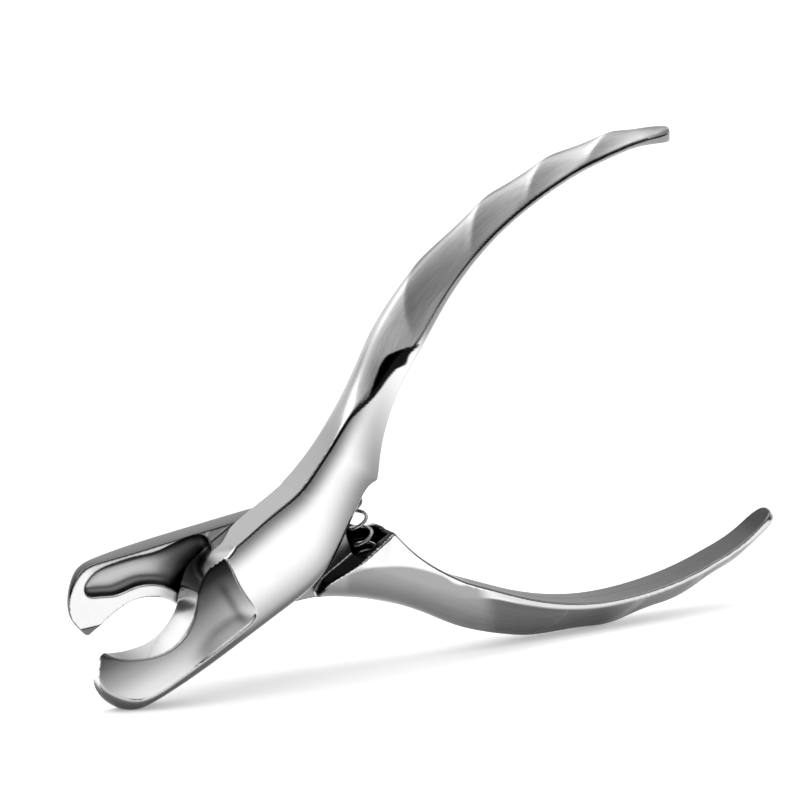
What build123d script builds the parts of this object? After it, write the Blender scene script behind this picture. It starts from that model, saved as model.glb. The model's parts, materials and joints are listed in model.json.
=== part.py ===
from build123d import *
import os
from math import cos, sin, tan, radians, hypot, atan2, degrees, pi

# Plier-type nutcracker: two identical cast levers lap-jointed on one shoulder
# screw, with a conical spring between the handle roots.
#
# LEVER FRAME (mm): the screw axis is the Y axis through the origin, +X runs along
# the bisector of the two levers towards the grips, +Z is the side the front
# lever's grip is on.  The rear lever is the front lever turned half a turn about X.
# The lap plane is Y = 0: the front lever has the near half (Y < 0) of the joint.

# ---------------------------------------------------------------- dimensions
TILT = 17.6            # bisector above the table, degrees, standing open at rest
CLOSE_MAX = 22.0       # closing travel of the front lever, degrees
HALF_T = 12.0          # half thickness of the barrel at the joint
LAP_GAP = 0.15         # each lap face stands back this far from Y = 0
JAW_RELIEF = 0.20      # extra relief of the lap faces outside the round land
LAND_R = 20.5          # radius of the round land about the screw
EAR_W = 5.5            # half width at the ears
POCKET_DEPTH = 3.2     # hollow in each jaw's lap face
SCOOP_DEPTH = 1.8      # dish in each jaw's outer face
BORE_D = 8.08          # running bore of the shoulder screw, rear lever
SHOULDER_D = 8.0
THREAD_D = 6.0
HEAD_D = 11.0
HEAD_H = 2.6
CBORE_D = 12.0
CBORE_DEPTH = 5.2
CAP_T = 1.4
WASHER_OD = 20.0
SPRING_X = 31.5        # spring axis, out from the screw
SPRING_SEAT_Z = 15.0   # depth of the spring seats each side of the bisector
WIRE_D = 1.1
SPRING_R_SMALL = 2.0   # mean coil radius in the upper lever
SPRING_R_LARGE = 3.3   # mean coil radius in the lower lever
SPRING_TURNS = 6.5
SEAT_BORE_R = 4.3
BARREL_R = 3.0         # rounding of the barrel's lower outer edge
CAP_D = 13.0
WASHER_T = 0.6
FLAT_CUT = 0.45        # depth of the worn flats the tool stands on

# inner (palm-side of the opening) edge of the grip, ear to tip
INNER = [(39.6, 10.0), (43.2, 17.0), (47.6, 23.6), (52.5, 29.5), (57.2, 34.2),
         (63.0, 38.9), (69.5, 44.0), (76.4, 49.1), (84.2, 53.9), (91.0, 57.3),
         (98.4, 60.2), (109.0, 63.1), (120.0, 65.0), (130.0, 65.75),
         (140.0, 65.5), (148.0, 64.7), (155.0, 62.7), (159.4, 60.6)]
# outer crest of the grip, joint to tip, with its low waves
OUTER = [(5.0, 16.9), (12.6, 18.9), (18.0, 21.2), (24.3, 24.6), (31.0, 28.9),
         (37.0, 33.2), (43.2, 38.6), (49.5, 44.8), (54.8, 49.4), (61.5, 54.1),
         (68.0, 58.0), (75.6, 61.7), (83.0, 64.4), (91.3, 67.4), (97.5, 69.5),
         (103.9, 71.1), (110.7, 71.0), (118.0, 71.6), (127.8, 72.9),
         (134.5, 71.6), (143.0, 70.2), (149.5, 69.0), (157.0, 66.4), (162.0, 63.4)]
FAR_KEEP = [(12.3, 40.0), (12.3, 17.2), (13.6, 16.0), (15.2, 14.5), (19.0, 13.4),
            (22.9, 12.5), (27.3, 11.3), (34.0, 9.9), (38.9, 8.9), (48.0, 8.9), (62.0, 60.0)]
# grip stations: (index along INNER, side-wall height, half width at the inner
# face, half width at the top of the side wall)
STATIONS = [(0.0, 24.2, 5.5, 10.2), (1.0, 17.0, 5.5, 8.6), (2.0, 11.4, 5.5, 7.3),
            (3.0, 7.0, 5.5, 6.5), (4.0, 4.2, 5.6, 6.1), (5.5, 2.3, 5.8, 6.0),
            (7.0, 1.9, 5.9, 6.0), (9.0, 1.8, 5.9, 5.9), (10.5, 1.8, 5.8, 5.8),
            (11.5, 1.8, 5.6, 5.6), (12.5, 1.7, 5.4, 5.4), (13.5, 1.7, 5.1, 5.1),
            (14.5, 1.6, 4.9, 4.9), (15.4, 1.5, 4.6, 4.6), (16.1, 1.4, 4.2, 4.2),
            (16.7, 1.2, 3.4, 3.4)]

# on the far side the wall of the root is lower: (height, half width) at its top
FAR_WALL = {0.0: (16.5, 8.8), 1.0: (12.2, 7.8), 2.0: (9.0, 7.0), 3.0: (6.3, 6.4)}
# rise of the crown from the side wall (0) to the crest (1) over the half width
CROWN = [(1.0, 0.0), (0.88, 0.40), (0.65, 0.82), (0.35, 0.985)]

# side outline of the joint and jaw, front lever, lap half
JAW_OUT = [(-58.4, -2.4), (-60.3, -6.2), (-61.6, -9.5), (-61.6, -12.5),
           (-60.4, -16.0), (-58.0, -19.3), (-55.0, -21.6), (-51.5, -22.3),
           (-46.5, -21.6)]
JAW_LOW = [(-37.0, -19.8), (-26.0, -17.9), (-14.0, -15.8)]
ROOT_LOW = [(-2.0, -13.7), (7.0, -11.9), (14.5, -9.2), (20.8, -4.8),
            (27.0, 1.0), (32.5, 6.0), (35.8, 7.9)]
EAR_TIP = (39.3, 8.3)
TOP_FACE = [(15.2, 20.0), (12.6, 18.9), (5.0, 16.9), (-2.0, 15.3),
            (-10.0, 13.1), (-18.5, 11.2)]
THROAT = [(-18.5, 11.2), (-22.8, 9.6), (-25.4, 7.4), (-27.6, 4.9)]
NUT_ARC = [(-27.6, 4.9), (-29.4, 1.6), (-32.0, -1.8), (-37.4, -5.2),
           (-43.0, -6.4), (-48.6, -5.7), (-53.4, -4.1), (-57.0, -1.3)]
# thickness of a lever half over its length (x, half thickness)
PLAN = [(-61.8, 3.6), (-58.0, 5.2), (-52.0, 7.6), (-46.0, 9.6), (-38.0, 11.2),
        (-30.0, 11.9), (-22.0, 12.0), (6.0, 12.0), (11.0, 11.4), (15.2, 10.3),
        (39.6, 5.5), (70.0, 5.5)]
# hollow in the lap face of the jaw
POCKET = [(-15.0, -14.0), (-28.4, -16.7), (-37.2, -18.4), (-43.9, -19.6),
          (-49.0, -20.0), (-52.6, -19.0), (-55.2, -16.8), (-54.8, -14.0),
          (-51.1, -12.1), (-46.5, -10.4), (-40.5, -9.9), (-36.1, -8.7),
          (-32.1, -6.4), (-28.6, -3.0), (-25.0, 0.5), (-19.5, 0.0)]
# dish in the outer face of the jaw
SCOOP = [(-20.0, 8.0), (-17.6, 6.5), (-16.6, 1.0), (-15.2, -5.0), (-16.6, -9.6),
         (-34.0, -13.2), (-46.5, -15.6), (-53.6, -14.6), (-57.4, -10.5),
         (-58.6, -5.5)]


# ---------------------------------------------------------------- helpers
def xz(pts, y=0.0):
    return [Vector(p[0], y, p[1]) for p in pts]


def extrude_xz(wire_edges, y0, y1):
    """Solid between Y = y0 and Y = y1 with the given closed outline."""
    face = Face(Wire(wire_edges))
    return Solid.extrude(face, Vector(0, y1 - y0, 0)).moved(Location((0, y0, 0)))


def poly_xz(pts, y0, y1):
    v = xz(pts)
    v.append(v[0])
    return extrude_xz([Edge.make_line(v[i], v[i + 1]) for i in range(len(v) - 1)], y0, y1)


def cyl_y(x, z, r, y0, y1):
    return Solid.make_cylinder(r, y1 - y0, Plane(origin=(x, y0, z), x_dir=(1, 0, 0), z_dir=(0, 1, 0)))


def lerp_point(pts, f):
    i = min(int(f), len(pts) - 2)
    t = f - i
    return (pts[i][0] * (1 - t) + pts[i + 1][0] * t, pts[i][1] * (1 - t) + pts[i + 1][1] * t)


def solid_of(shape):
    s = shape.solids()
    return max(s, key=lambda q: q.volume)


# ---------------------------------------------------------------- the grip
inner_curve = Edge.make_spline(xz(INNER))
outer_curve = Edge.make_spline(xz(OUTER))
outer_pts = [outer_curve.position_at(i / 400.0) for i in range(401)]


def ray_hit(p, n):
    """Distance from p along n to the outer crest."""
    best = None
    for a, b in zip(outer_pts[:-1], outer_pts[1:]):
        ex, ez = b.X - a.X, b.Z - a.Z
        den = n[0] * ez - n[1] * ex
        if abs(den) < 1e-9:
            continue
        wx, wz = a.X - p[0], a.Z - p[1]
        t = (wx * ez - wz * ex) / den
        s = (wx * n[1] - wz * n[0]) / den
        if -1e-6 <= s <= 1 + 1e-6 and t > 0 and (best is None or t < best):
            best = t
    return best


def section_edges(P, a, w0, w1, h, far):
    """Closed outline of a grip section: P maps (height, y) to a point."""
    af, wf = far
    top = [P(a + (h - a) * r, -w1 * u) for u, r in CROWN] + [P(h, 0)]
    top += [P(af + (h - af) * r, wf * u) for u, r in reversed(CROWN)]
    return [Edge.make_line(P(0, -w0), P(a, -w1)), Edge.make_spline(top),
            Edge.make_line(P(af, wf), P(0, w0)), Edge.make_line(P(0, w0), P(0, -w0))]


def station_section(f, a, w0, w1):
    """Cross-section of the grip: flat inner face, side walls, pointed crown."""
    px, pz = lerp_point(INNER, f)
    q0, q1 = lerp_point(INNER, max(0.0, f - 0.35)), lerp_point(INNER, min(len(INNER) - 1.0, f + 0.35))
    tx, tz = q1[0] - q0[0], q1[1] - q0[1]
    ln = hypot(tx, tz)
    nx, nz = -tz / ln, tx / ln
    if f < 0.5:                      # first section follows the joint outline
        d = hypot(15.2 - px, 20.0 - pz)
        nx, nz = (15.2 - px) / d, (20.0 - pz) / d
    h = ray_hit((px, pz), (nx, nz))
    if f < 0.5:
        h = hypot(15.2 - px, 20.0 - pz)

    def P(v, y):
        return Vector(px + nx * v, y, pz + nz * v)
    e = section_edges(P, a, w0, w1, h, FAR_WALL.get(f, (a, w1)))
    return Face(Wire(e)), (px, pz, nx, nz, h)


def make_grip():
    secs = [station_section(*s)[0] for s in STATIONS]
    body = Solid.make_loft([s.outer_wire() for s in secs], False)
    # rounded tongue end: the last section closes onto a short ruled nose
    last = secs[-1].outer_wire()
    px, pz, nx, nz, h = station_section(*STATIONS[-1])[1]
    tx, tz = nz, -nx
    k = 0.45
    a, w = STATIONS[-1][1], STATIONS[-1][2]

    def P(v, y):
        return Vector(px + tx * 2.4 + nx * (h * 0.5 + (v - h * 0.5) * k), y * k, pz + tz * 2.4 + nz * (h * 0.5 + (v - h * 0.5) * k))
    e = section_edges(P, a, w, w, h, (a, w))
    tip = Solid.make_loft([last, Wire(e)], True)
    return body.fuse(tip)


# ---------------------------------------------------------------- joint + jaw
def vec(p):
    return Vector(p[0], 0, p[1])


def blank_outline():
    """Outline of the joint, root and jaw before the nut opening is cut."""
    low = JAW_OUT + JAW_LOW + ROOT_LOW
    return [Edge.make_spline(xz(TOP_FACE)),
            Edge.make_line(vec(TOP_FACE[-1]), Vector(-44.0, 0, 6.0)),
            Edge.make_line(Vector(-44.0, 0, 6.0), vec(low[0])),
            Edge.make_spline(xz(low)),
            Edge.make_line(vec(low[-1]), vec(EAR_TIP)),
            Edge.make_line(vec(EAR_TIP), vec(INNER[0])),
            Edge.make_line(vec(INNER[0]), vec(TOP_FACE[0]))]


def plan_prism(side):
    """Top-view outline of one half, as a prism along Z."""
    z0 = -60.0

    def V(x, w):
        return Vector(x, side * w, z0)
    jaw = [V(x, w) for x, w in PLAN if x <= -21.9]
    neck = [V(x, w) for x, w in PLAN if 5.9 <= x <= 15.3]
    e = [Edge.make_line(V(PLAN[0][0], 0), jaw[0]),
         Edge.make_spline(jaw, tangents=[Vector(0.92, side * 0.39, 0), Vector(1, 0, 0)]),
         Edge.make_line(jaw[-1], neck[0]),
         Edge.make_spline(neck, tangents=[Vector(1, 0, 0), Vector(24.4, -side * 4.8, 0)]),
         Edge.make_line(neck[-1], V(39.6, 5.5)),
         Edge.make_line(V(39.6, 5.5), V(70, 5.5)),
         Edge.make_line(V(70, 5.5), V(70, 0)),
         Edge.make_line(V(70, 0), V(PLAN[0][0], 0))]
    return Solid.extrude(Face(Wire(e)), Vector(0, 0, 120))


def lower_edges(sh):
    """Edges between the barrel's outer face and its lower side, nose to root."""
    out = []
    for e in sh.edges():
        c, bb = e.center(), e.bounding_box()
        if c.Y < -1.0 and bb.size.X > 2.0 and c.X < 38 and c.Z < (-9.0 if c.X < -5 else c.X * 0.75 - 8):
            out.append(e)
    return out


def make_half():
    """Near half of the joint with the jaw blank."""
    near = extrude_xz(blank_outline(), -HALF_T - 1, -LAP_GAP)
    near = solid_of(near.intersect(plan_prism(-1)))
    return near.fillet(BARREL_R, lower_edges(near))


def spline_prism(pts, y0, y1):
    """Prism with a closed smooth outline."""
    return extrude_xz([Edge.make_spline(xz(pts), periodic=True)], y0, y1)


def nut_cut():
    """The throat and the nut opening, right through one lever half."""
    e = [Edge.make_spline(xz(THROAT)), Edge.make_spline(xz(NUT_ARC)),
         Edge.make_line(vec(NUT_ARC[-1]), Vector(-63, 0, 4.0)),
         Edge.make_line(Vector(-63, 0, 4.0), Vector(-63, 0, 30)),
         Edge.make_line(Vector(-63, 0, 30), Vector(THROAT[0][0], 0, 30)),
         Edge.make_line(Vector(THROAT[0][0], 0, 30), vec(THROAT[0]))]
    return extrude_xz(e, -HALF_T - 3, 2)


def tip_bevel():
    """Bevel that takes the jaw tip back from the lap plane."""
    lap = -(LAP_GAP + JAW_RELIEF)
    d = Vector(0.971, 0, 0.243)
    n = Vector(-0.243, 0, 0.971)
    o = Vector(-68.0, 0, -8.1)
    pts = [o + Vector(0, lap, 0), o + n * 7 + Vector(0, lap - 5.4, 0),
           o + n * 7 + Vector(0, 3, 0), o + Vector(0, 3, 0)]
    pts.append(pts[0])
    f = Face(Wire([Edge.make_line(pts[i], pts[i + 1]) for i in range(4)]))
    return Solid.extrude(f, d * 26)


def make_lever():
    """Blank of one lever, both halves of the root, jaw and grip in one casting."""
    near = make_half()
    # the far side of the root stands clear of the other lever's barrel
    far = extrude_xz(blank_outline(), -1.0, HALF_T + 1)
    far = solid_of(far.intersect(plan_prism(1).fuse(plan_prism(-1))))
    keep = poly_xz(FAR_KEEP, -2, HALF_T + 3)
    far = solid_of(far.intersect(keep))
    o = Vector(TOP_FACE[1][0], 0, TOP_FACE[1][1])
    d = Vector(0.862, 0, 0.506)
    n = Vector(-0.506, 0, 0.862)
    pts = [o + n * v + Vector(0, y, 0) - d * 14 for y, v in
           [(1.2, 0.2), (3.0, -0.5), (5.0, -1.7), (7.0, -3.7), (8.8, -6.6), (9.6, -9.5), (9.8, -30.0), (16, -30.0), (16, 9), (1.2, 9)]]
    roof = Solid.extrude(Face(Wire([Edge.make_line(pts[i], pts[(i + 1) % len(pts)]) for i in range(len(pts))])), d * 60)
    far = solid_of(far.cut(roof))
    lever = near.fuse(far)
    lever = solid_of(lever)
    lever = solid_of(lever.fuse(make_grip()))
    lever = solid_of(lever.cut(nut_cut()))
    # jaw lap face relieved outside the round land
    strip = poly_xz([(-75, -40), (-6, -40), (-6, 30), (-75, 30)], -(LAP_GAP + JAW_RELIEF), 2)
    strip = strip.cut(cyl_y(0, 0, LAND_R, -3, 3))
    lever = solid_of(lever.cut(strip))
    lever = solid_of(lever.cut(tip_bevel()))
    # hollow in the lap face of the jaw
    pocket = spline_prism(POCKET, -(LAP_GAP + JAW_RELIEF + POCKET_DEPTH), 2)
    lever = solid_of(lever.cut(pocket))
    # dish in the outer face of the jaw: follows the taper of that face
    dish = spline_prism(SCOOP, -HALF_T - 3, -0.5)
    floor = plan_prism(-1).moved(Location((0, SCOOP_DEPTH, 0)))
    lever = solid_of(lever.cut(dish.cut(floor)))
    # seat of the spring, open towards the bisector and the grip
    seat = Solid.make_cylinder(SEAT_BORE_R, 30, Plane(origin=(SPRING_X, 0, SPRING_SEAT_Z - 30)))
    slot = Solid.make_box(7.0, 7.6, 30, Plane(origin=(SPRING_X - 1.0, -3.8, SPRING_SEAT_Z - 3.0 - 30)))
    lever = solid_of(lever.cut(seat).cut(slot))
    return lever


def turn_over(sh):
    return sh.moved(Location((0, 0, 0), (1, 0, 0), 180))


def make_spring():
    """Conical wire spring, small end in the upper lever."""
    h = 2 * SPRING_SEAT_Z - WIRE_D - 0.3
    z0 = -SPRING_SEAT_Z + WIRE_D / 2 + 0.15
    n = int(SPRING_TURNS * 14)
    rings = []
    for i in range(n + 1):
        t = i / n
        g = 2 * pi * SPRING_TURNS * t
        r = SPRING_R_LARGE + (SPRING_R_SMALL - SPRING_R_LARGE) * t
        dr = (SPRING_R_SMALL - SPRING_R_LARGE) / (2 * pi * SPRING_TURNS)
        at = Vector(SPRING_X + r * cos(g), r * sin(g), z0 + h * t)
        tangent = Vector(dr * cos(g) - r * sin(g), dr * sin(g) + r * cos(g), h / (2 * pi * SPRING_TURNS)).normalized()
        out = Vector(cos(g), sin(g), 0)
        out = (out - tangent * out.dot(tangent)).normalized()
        up = tangent.cross(out)
        k = 8
        ring = [at + (out * cos(2 * pi * j / k) + up * sin(2 * pi * j / k)) * (WIRE_D / 2) for j in range(k)]
        rings.append(ring)
    # wire as flat-sided panels between the rings
    faces = []
    for a, b in zip(rings[:-1], rings[1:]):
        for j in range(len(a)):
            m = (j + 1) % len(a)
            for tri in ((a[j], a[m], b[m]), (a[j], b[m], b[j])):
                faces.append(Face(Wire([Edge.make_line(tri[0], tri[1]), Edge.make_line(tri[1], tri[2]),
                                        Edge.make_line(tri[2], tri[0])])))
    for ring in (rings[0], rings[-1]):
        faces.append(Face(Wire([Edge.make_line(ring[j], ring[(j + 1) % len(ring)]) for j in range(len(ring))])))
    return Solid(Shell(faces))


if __name__ == "__main__":
    os.makedirs("parts", exist_ok=True)
    blank = make_lever()

    # front lever: blind hole for the shoulder and the thread of the screw
    front = blank.cut(cyl_y(0, 0, BORE_D / 2, -2.2, 2)).cut(cyl_y(0, 0, THREAD_D / 2, -9.6, 2))
    front = solid_of(front)

    # rear lever: running bore, counterbore for the head, recess for the cover
    rear = turn_over(blank)
    rear = rear.cut(cyl_y(0, 0, BORE_D / 2, -2, HALF_T + 3))
    rear = rear.cut(cyl_y(0, 0, CBORE_D / 2, HALF_T - CBORE_DEPTH, HALF_T + 3))
    rear = solid_of(rear.cut(cyl_y(0, 0, CAP_D / 2, HALF_T - CAP_T, HALF_T + 3)))

    # shoulder screw: shoulder through the rear lever, thread in the front one
    y_head = HALF_T - CBORE_DEPTH + WASHER_T
    screw = cyl_y(0, 0, SHOULDER_D / 2, -2.1, y_head + 0.4)
    screw = screw.fuse(cyl_y(0, 0, THREAD_D / 2, -9.0, -1.5))
    head = cyl_y(0, 0, HEAD_D / 2, y_head, y_head + HEAD_H)
    head = head.fillet(0.5, [e for e in head.edges() if e.geom_type == GeomType.CIRCLE and e.center().Y > y_head + 1])
    hexa = poly_xz([(2.0 / cos(pi / 6) * cos(k * pi / 3), 2.0 / cos(pi / 6) * sin(k * pi / 3)) for k in range(6)],
                   y_head + HEAD_H - 1.6, y_head + HEAD_H + 1)
    screw = solid_of(screw.fuse(head).cut(hexa))

    washer = cyl_y(0, 0, WASHER_OD / 2, -LAP_GAP, LAP_GAP).cut(cyl_y(0, 0, SHOULDER_D / 2 + 0.1, -1, 1))
    head_washer = cyl_y(0, 0, CBORE_D / 2 - 0.2, HALF_T - CBORE_DEPTH, y_head).cut(
        cyl_y(0, 0, SHOULDER_D / 2 + 0.1, 0, HALF_T))
    cap = cyl_y(0, 0, CAP_D / 2, HALF_T - CAP_T, HALF_T)
    cap = cap.fillet(0.4, [e for e in cap.edges() if e.geom_type == GeomType.CIRCLE and e.center().Y > HALF_T - 0.1])
    spring = make_spring()

    nodes = dict(lever_front=front, lever_rear=rear, pivot_screw=screw,
                 thrust_washer=solid_of(washer), head_washer=solid_of(head_washer),
                 pivot_cap=solid_of(cap), return_spring=spring)

    # stand the tool up: tilt, then the table touches the jaw and the grip
    tilt = Location((0, 0, 0), (0, 1, 0), -TILT)
    nodes = {k: v.moved(tilt) for k, v in nodes.items()}
    zf = nodes["lever_front"].bounding_box().min.Z
    zr = nodes["lever_rear"].bounding_box().min.Z
    xs = [b.bounding_box() for b in nodes.values()]
    x0, x1 = min(b.min.X for b in xs), max(b.max.X for b in xs)
    print("lowest front %.3f rear %.3f  X %.2f..%.2f" % (zf, zr, x0, x1))
    place = Location((-(x0 + x1) / 2, 0, -max(zf, zr) - FLAT_CUT))
    print("pivot at X %.4f Z %.4f" % (-(x0 + x1) / 2, -max(zf, zr) - FLAT_CUT))
    nodes = {k: v.moved(place) for k, v in nodes.items()}
    table = Solid.make_box(500, 200, 50, Plane(origin=(-250, -100, -50)))
    for k in ("lever_front", "lever_rear"):
        nodes[k] = solid_of(nodes[k].cut(table))
    for k, v in nodes.items():
        for fc in v.faces():
            if abs(fc.center().Z) < 1e-3 and fc.geom_type == GeomType.PLANE and abs(fc.normal_at().Z) > 0.999:
                print("  rests on", [round(q, 2) for q in fc.center()], "area %.1f" % fc.area,
                      [round(q, 1) for q in fc.bounding_box().size])
        print(k, "valid", v.is_valid, "vol %.1f" % v.volume, [round(q, 2) for q in v.bounding_box().size])
        export_step(v, "parts/%s.step" % k)
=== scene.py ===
import json
import math
import bpy
import numpy as np
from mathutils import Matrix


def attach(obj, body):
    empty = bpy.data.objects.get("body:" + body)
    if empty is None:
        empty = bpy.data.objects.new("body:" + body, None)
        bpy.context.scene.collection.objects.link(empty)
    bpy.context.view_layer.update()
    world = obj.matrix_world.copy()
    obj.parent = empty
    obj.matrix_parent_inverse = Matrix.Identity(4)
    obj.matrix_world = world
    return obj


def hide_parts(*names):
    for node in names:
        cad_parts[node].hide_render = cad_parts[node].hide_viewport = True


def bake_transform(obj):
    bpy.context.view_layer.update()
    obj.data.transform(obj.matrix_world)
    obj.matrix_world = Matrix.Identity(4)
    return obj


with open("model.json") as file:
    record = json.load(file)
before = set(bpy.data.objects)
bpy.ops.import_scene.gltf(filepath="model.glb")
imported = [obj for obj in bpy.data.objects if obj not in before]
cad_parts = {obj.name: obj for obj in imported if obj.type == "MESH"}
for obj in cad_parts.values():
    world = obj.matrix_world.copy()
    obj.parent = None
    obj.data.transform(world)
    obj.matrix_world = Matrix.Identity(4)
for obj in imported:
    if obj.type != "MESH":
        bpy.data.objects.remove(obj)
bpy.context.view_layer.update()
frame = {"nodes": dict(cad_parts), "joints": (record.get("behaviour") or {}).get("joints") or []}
import openvdb
from mathutils import Vector

# ------------------------------------------------------------------ lever frame
# millimetres; pivot axis is Y, +x runs from the pivot towards the grips
joint = frame["joints"][0]
PIV = np.array(joint["pos_m"], float)
TILT = math.radians(17.6)
CT, ST = math.cos(TILT), math.sin(TILT)


def to_world(p):
    """(n, 3) lever-frame millimetres -> metres in the shared frame."""
    q = np.empty_like(p)
    q[:, 0] = (p[:, 0] * CT - p[:, 2] * ST) / 1000 + PIV[0]
    q[:, 1] = p[:, 1] / 1000 + PIV[1]
    q[:, 2] = (p[:, 0] * ST + p[:, 2] * CT) / 1000 + PIV[2]
    return q


def dir_world(n):
    return np.stack([n[:, 0] * CT - n[:, 2] * ST, n[:, 1], n[:, 0] * ST + n[:, 2] * CT], 1)


INNER = [(39.6, 10.0), (43.2, 17.0), (47.6, 23.6), (52.5, 29.5), (57.2, 34.2),
         (63.0, 38.9), (69.5, 44.0), (76.4, 49.1), (84.2, 53.9), (91.0, 57.3),
         (98.4, 60.2), (109.0, 63.1), (120.0, 65.0), (130.0, 65.75),
         (140.0, 65.5), (148.0, 64.7), (155.0, 62.8), (160.6, 60.8)]
# crest of the lever from the joint to the tip, without its waves
OUTER = [(-75.0, -2.5), (-60.0, 1.2), (-40.0, 6.1), (-18.5, 11.2), (-10.0, 13.1), (-2.0, 15.3), (5.0, 16.9), (12.6, 18.9),
         (18.0, 21.2), (24.3, 24.6), (31.0, 28.9), (37.0, 33.2), (43.2, 38.6), (49.5, 44.8),
         (54.8, 49.4), (61.5, 54.1), (68.0, 58.0), (75.6, 61.7), (83.0, 64.6), (91.3, 67.2),
         (97.5, 68.9), (103.9, 70.3), (110.7, 71.3), (118.0, 71.9), (127.8, 72.1),
         (134.5, 71.7), (143.0, 70.6), (149.5, 69.0), (157.0, 66.8), (163.0, 64.2)]
JAW = [(-53.6, 3.6), (-56.6, 0.6), (-58.4, -2.4), (-60.3, -6.2), (-61.6, -9.5), (-61.6, -12.5), (-60.4, -16.0),
       (-58.0, -19.3), (-55.0, -21.6), (-51.5, -22.3), (-46.5, -21.6), (-37.0, -19.8),
       (-26.0, -17.9), (-14.0, -15.8), (-2.0, -13.7), (7.0, -11.9), (14.5, -9.2),
       (20.8, -4.8), (27.0, 1.0), (32.5, 6.0), (35.8, 7.9), (38.6, 8.1)]
FAR = [(12.3, 40.0), (12.3, 17.2), (13.6, 16.0), (15.2, 14.5), (19.0, 13.4),
       (22.9, 12.5), (27.3, 11.3), (34.0, 9.9), (38.9, 8.9), (48.0, 8.9), (220.0, 8.9), (220.0, 110.0), (12.3, 110.0)]
THROAT = [(-18.5, 11.2), (-22.8, 9.6), (-25.4, 7.4), (-27.6, 4.9)]
NUT_ARC = [(-27.6, 4.9), (-29.4, 1.6), (-32.0, -1.8), (-37.4, -5.2),
           (-43.0, -6.4), (-48.6, -5.7), (-53.4, -4.1), (-57.0, -1.3)]
POCKET = [(-15.0, -14.0), (-28.4, -16.7), (-37.2, -18.4), (-43.9, -19.6),
          (-49.0, -20.0), (-52.6, -19.0), (-55.2, -16.8), (-54.8, -14.0),
          (-51.1, -12.1), (-46.5, -10.4), (-40.5, -9.9), (-36.1, -8.7),
          (-32.1, -6.4), (-28.6, -3.0), (-25.0, 0.5), (-19.5, 0.0)]
SCOOP = [(-22.6, 12.6), (-20.6, 13.2), (-18.2, 12.6), (-16.5, 10.9), (-15.6, 8.0), (-15.1, 4.0), (-14.5, 0.2), (-13.6, -3.2),
         (-12.7, -6.2), (-12.6, -8.3), (-13.9, -9.9), (-18.1, -11.4), (-25.0, -12.9), (-33.1, -14.6),
         (-41.0, -16.6), (-47.0, -18.2), (-51.5, -18.3), (-55.0, -17.0), (-58.0, -14.6), (-60.2, -11.4),
         (-60.6, -7.6), (-59.0, -2.0), (-52.0, 3.0), (-40.0, 2.0), (-30.0, 8.0)]
# ridges of the twisted crown: place along the crest, and how far each leans per mm across
WAVE = [(13, -3), (41, -2), (69.5, -1), (97.5, 0), (120.5, 1), (143, 2), (166, 3), (190, 4)]
LEAN = 2.2
H = 0.40                                    # grid step, mm
X0, Y0, Z0 = -66.0, -14.0, -26.0
NX, NY, NZ = int(232 / H), int(28 / H) + 1, int(102 / H)
gx = X0 + H * np.arange(NX)
gy = Y0 + H * np.arange(NY)
gz = Z0 + H * np.arange(NZ)


def spline(pts, step=0.6):
    """Dense points on a natural cubic spline through pts."""
    p = np.array(pts, float)
    t = np.concatenate([[0], np.cumsum(np.sqrt(np.linalg.norm(np.diff(p, axis=0), axis=1)))])
    n = len(p)
    h = np.diff(t)
    A = np.zeros((n, n)); b = np.zeros((n, 2))
    A[0, 0] = A[-1, -1] = 1
    for i in range(1, n - 1):
        A[i, i - 1], A[i, i], A[i, i + 1] = h[i - 1], 2 * (h[i - 1] + h[i]), h[i]
        b[i] = 6 * ((p[i + 1] - p[i]) / h[i] - (p[i] - p[i - 1]) / h[i - 1])
    M = np.linalg.solve(A, b)
    out = []
    for i in range(n - 1):
        k = max(2, int(np.linalg.norm(p[i + 1] - p[i]) / step))
        u = np.linspace(0, h[i], k, endpoint=False)[:, None]
        a0, a1 = h[i] - u, u
        out.append(M[i] * a0 ** 3 / (6 * h[i]) + M[i + 1] * a1 ** 3 / (6 * h[i])
                   + (p[i] / h[i] - M[i] * h[i] / 6) * a0 + (p[i + 1] / h[i] - M[i + 1] * h[i] / 6) * a1)
    out.append(p[-1:])
    return np.concatenate(out)


GX, GZ = [a.astype(np.float32) for a in np.meshgrid(gx, gz, indexing="ij")]


def nearest(curve):
    """Distance, side sign and x of the nearest point of an open or closed polyline, over the grid."""
    a = curve[:-1].astype(np.float32); d = (curve[1:] - curve[:-1]).astype(np.float32)
    L2 = (d ** 2).sum(1)
    px, pz = GX.ravel(), GZ.ravel()
    best = np.empty(len(px), np.float32); sg = np.empty_like(best); xo = np.empty_like(best)
    for i in range(0, len(px), 6000):
        qx = px[i:i + 6000, None] - a[None, :, 0]; qz = pz[i:i + 6000, None] - a[None, :, 1]
        t = np.clip((qx * d[:, 0] + qz * d[:, 1]) / L2, 0, 1)
        ex = qx - t * d[:, 0]; ez = qz - t * d[:, 1]
        e = ex * ex + ez * ez
        j = e.argmin(1); r = np.arange(len(j))
        best[i:i + 6000] = np.sqrt(e[r, j])
        sg[i:i + 6000] = d[j, 0] * qz[r, j] - d[j, 1] * qx[r, j]
        xo[i:i + 6000] = a[j, 0] + t[r, j] * d[j, 0]
    sh = GX.shape
    return best.reshape(sh), np.sign(sg).reshape(sh), xo.reshape(sh)


def inside(poly):
    """Even-odd test of the grid against a closed polygon."""
    r = np.zeros(GX.shape, bool)
    q = np.roll(poly, -1, axis=0)
    for (x1, z1), (x2, z2) in zip(poly, q):
        if z1 == z2:
            continue
        c = (GZ > min(z1, z2)) & (GZ <= max(z1, z2))
        r ^= c & (GX < x1 + (GZ - z1) * (x2 - x1) / (z2 - z1))
    return r


def sdf(poly):
    """Signed distance to a closed polygon, negative inside."""
    d, _, _ = nearest(np.vstack([poly, poly[:1]]))
    return np.where(inside(poly), -d, d)


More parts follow.
